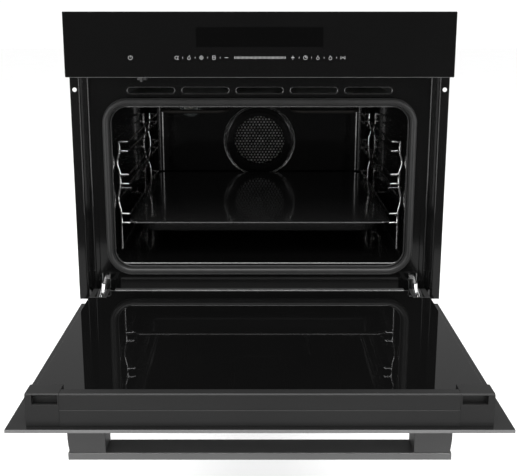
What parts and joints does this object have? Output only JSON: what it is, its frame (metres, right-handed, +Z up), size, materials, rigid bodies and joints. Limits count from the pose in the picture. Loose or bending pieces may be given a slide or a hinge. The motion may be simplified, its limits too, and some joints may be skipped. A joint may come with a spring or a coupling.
{
  "type": "wall oven",
  "caption": "Built-in compact wall oven: touch panel, enamelled cavity with racks and tray, rear fan, and a drop-down glass door with a flat bar handle.",
  "frame": {"origin": "midway between the two fixing holes, on the front of the mounting flange", "axes": "+X to the oven's right as seen from the front, +Y into the housing, +Z up; the door opens towards -Y"},
  "size_m": [0.595, 0.9025, 0.532],
  "materials": {
    "black_glass": "gloss black printed glass",
    "inner_glass": "dark heat-reflecting glass",
    "clear_glass": "clear glass",
    "black_enamel": "gloss black vitreous enamel",
    "front_enamel": "satin black enamelled steel",
    "seal_silicone": "matt grey silicone",
    "zinc_steel": "bright zinc-plated steel",
    "galvanised_steel": "spangled galvanised sheet",
    "chrome_wire": "bright chromed wire",
    "heater_tube": "oxidised heater tube",
    "cast_aluminium": "plain aluminium",
    "motor_steel": "painted motor case",
    "graphite_metal": "brushed graphite anodised",
    "rail_plastic": "matt dark grey plastic",
    "black_plastic": "matt black plastic",
    "white_ceramic": "unglazed porcelain",
    "circuit_board": "green solder mask",
    "glass_wool": "glass wool blanket",
    "warm_bulb": "halogen bulb"
  },
  "bodies": {
    "oven": {"control_glass": "black_glass", "display_module": "black_plastic", "control_board": "circuit_board", "panel_carrier": "black_plastic", "flange_left": "front_enamel", "flange_right": "front_enamel", "fascia": "front_enamel", "door_seal": "seal_silicone", "door_sensor": "zinc_steel", "cavity_wrapper": "black_enamel", "cavity_back": "black_enamel", "fan_cover": "black_enamel", "fan_motor": "motor_steel", "ring_heater": "heater_tube", "grill_element": "heater_tube", "bottom_heater": "heater_tube", "lamp_cover": "clear_glass", "lamp_bulb": "warm_bulb", "lamp_holder": "white_ceramic", "temperature_probe": "zinc_steel", "rack_left": "chrome_wire", "rack_right": "chrome_wire", "insulation_wrap": "glass_wool", "insulation_rear": "glass_wool", "side_panel_left": "galvanised_steel", "side_panel_right": "galvanised_steel", "base_plate": "galvanised_steel", "top_cover": "galvanised_steel", "back_panel": "galvanised_steel", "cable_inlet": "black_plastic", "terminal_block": "white_ceramic", "air_duct": "galvanised_steel", "blower_housing": "galvanised_steel", "blower_motor": "motor_steel", "power_board": "circuit_board", "hinge_arm_left": "zinc_steel", "hinge_arm_right": "zinc_steel", "housing_screws": "zinc_steel"},
    "door": {"door_outer_glass": "black_glass", "door_middle_glass": "clear_glass", "door_inner_glass": "inner_glass", "door_top_rail": "rail_plastic", "rail_cap_left": "rail_plastic", "rail_cap_right": "rail_plastic", "door_side_left": "rail_plastic", "door_side_right": "rail_plastic", "door_bottom_strip": "zinc_steel", "handle_bar": "graphite_metal", "handle_posts": "graphite_metal", "hinge_body_left": "zinc_steel", "hinge_body_right": "zinc_steel", "hinge_spring_left": "zinc_steel", "hinge_spring_right": "zinc_steel"},
    "tray": {"baking_tray": "black_enamel"},
    "fan": {"convection_fan": "cast_aluminium"},
    "blower": {"blower_wheel": "cast_aluminium"},
    "strap_left": {"hinge_strap_left": "zinc_steel"},
    "strap_right": {"hinge_strap_right": "zinc_steel"},
    "latch_left": {"hinge_latch_left": "zinc_steel"},
    "latch_right": {"hinge_latch_right": "zinc_steel"}
  },
  "joints": [
    {"name": "door_hinge", "type": "hinge", "parent": "oven", "child": "door", "pos_m": [0, 0.005, -0.3385], "axis": [1, 0, 0], "range_deg": [-90, 0]},
    {"name": "tray_slide", "type": "slide", "parent": "oven", "child": "tray", "axis": [0, -1, 0], "range_m": [0, 0.25]},
    {"name": "fan_spin", "type": "hinge", "parent": "oven", "child": "fan", "pos_m": [0, 0.48, -0.159], "axis": [0, 1, 0], "continuous": true},
    {"name": "blower_spin", "type": "hinge", "parent": "oven", "child": "blower", "pos_m": [0, 0.4, -0.0042], "axis": [0, 0, 1], "continuous": true},
    {"name": "strap_left_swing", "type": "hinge", "parent": "oven", "child": "strap_left", "pos_m": [-0.2613, 0.015, -0.3285], "axis": [1, 0, 0], "range_deg": [-90, 0]},
    {"name": "latch_left_flip", "type": "hinge", "parent": "oven", "child": "latch_left", "pos_m": [-0.255, 0.021, -0.3215], "axis": [1, 0, 0], "range_deg": [0, 75]},
    {"name": "strap_right_swing", "type": "hinge", "parent": "oven", "child": "strap_right", "pos_m": [0.2613, 0.015, -0.3285], "axis": [1, 0, 0], "range_deg": [-90, 0]},
    {"name": "latch_right_flip", "type": "hinge", "parent": "oven", "child": "latch_right", "pos_m": [0.255, 0.021, -0.3215], "axis": [1, 0, 0], "range_deg": [0, 75]}
  ],
  "couplings": [
    {"joint": "strap_left_swing", "follows": "door_hinge", "ratio": 1},
    {"joint": "strap_right_swing", "follows": "door_hinge", "ratio": 1}
  ]
}
